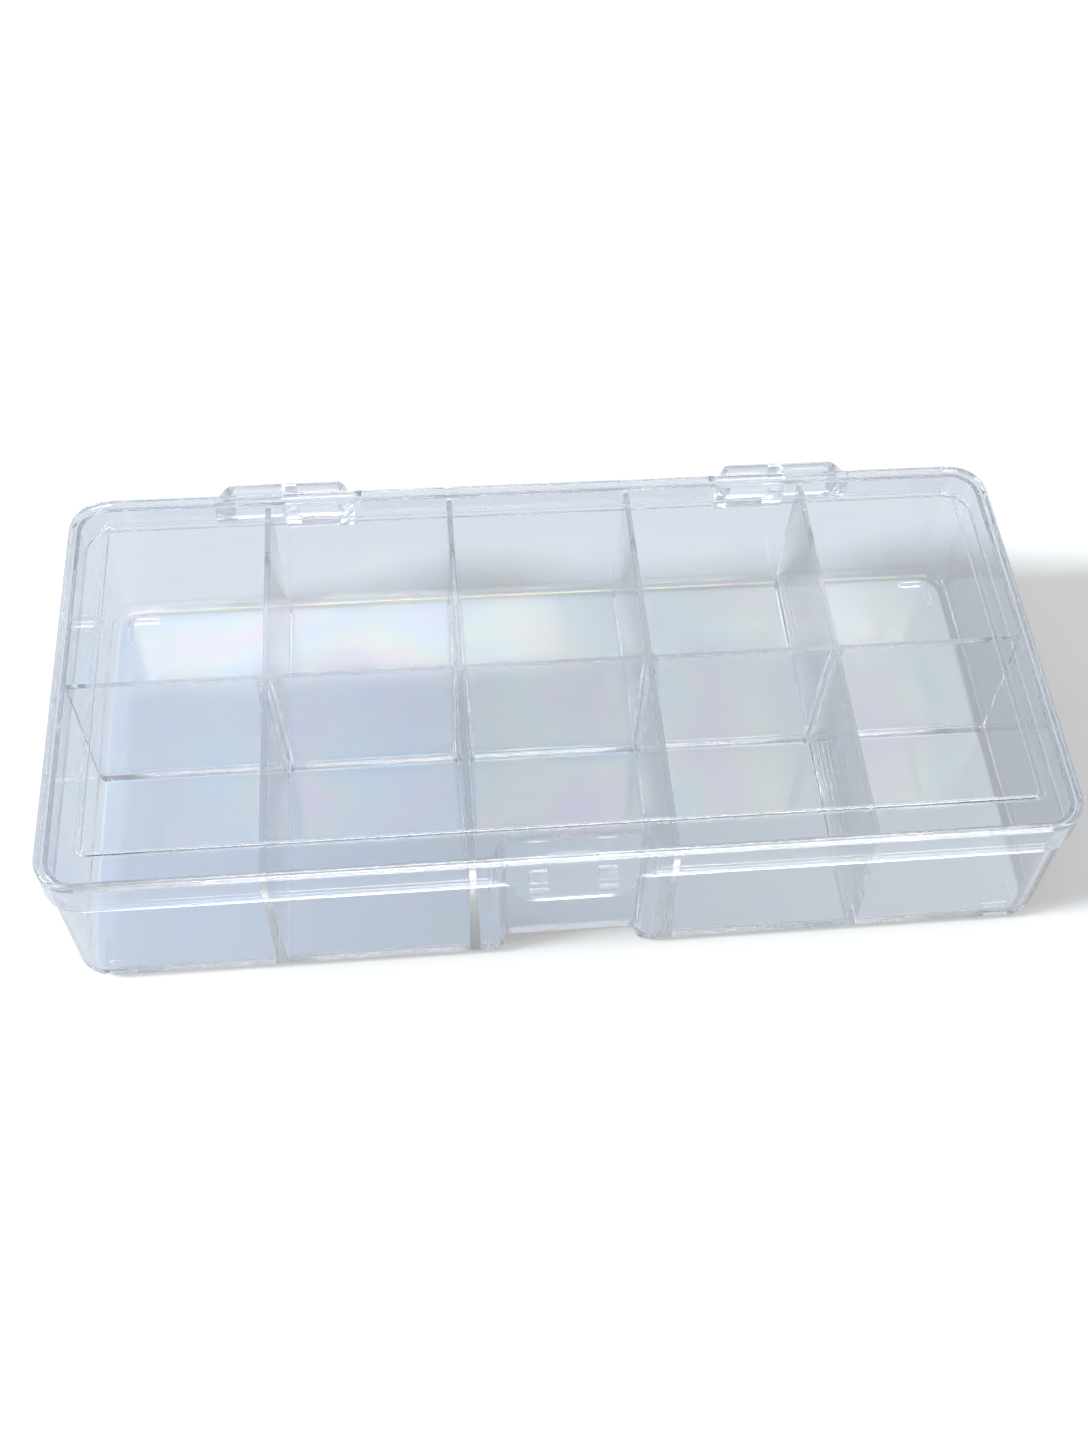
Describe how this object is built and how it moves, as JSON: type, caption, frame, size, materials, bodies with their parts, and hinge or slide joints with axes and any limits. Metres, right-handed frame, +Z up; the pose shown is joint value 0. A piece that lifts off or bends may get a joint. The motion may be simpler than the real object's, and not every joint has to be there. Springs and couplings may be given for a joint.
{
  "type": "compartment organizer box",
  "caption": "Clear plastic organizer box with compartments, a hinged lid with moulded pins and a snap latch tab.",
  "frame": {"origin": "on the surface the box stands on, under the middle of its bounding box", "axes": "+X along the length to the right as seen from the latch side, +Y from the latch to the hinges, +Z up"},
  "size_m": [0.205, 0.1068, 0.0393],
  "materials": {
    "clear_plastic_tray": "clear, polished",
    "clear_plastic_divider": "clear, polished",
    "clear_plastic_lid": "clear, polished"
  },
  "bodies": {
    "base": {"base_tray": "clear_plastic_tray", "latch_wall": "clear_plastic_tray", "long_divider": "clear_plastic_divider", "front_divider_1": "clear_plastic_divider", "front_divider_2": "clear_plastic_divider", "front_divider_3": "clear_plastic_divider", "front_divider_4": "clear_plastic_divider", "back_divider_1": "clear_plastic_divider", "back_divider_2": "clear_plastic_divider", "back_divider_3": "clear_plastic_divider", "back_divider_4": "clear_plastic_divider"},
    "lid": {"lid": "clear_plastic_lid"}
  },
  "joints": [
    {"name": "lid_hinge", "type": "hinge", "parent": "base", "child": "lid", "pos_m": [0, 0.04942, 0.0318], "axis": [-1, 0, 0], "range_deg": [0, 180]}
  ]
}
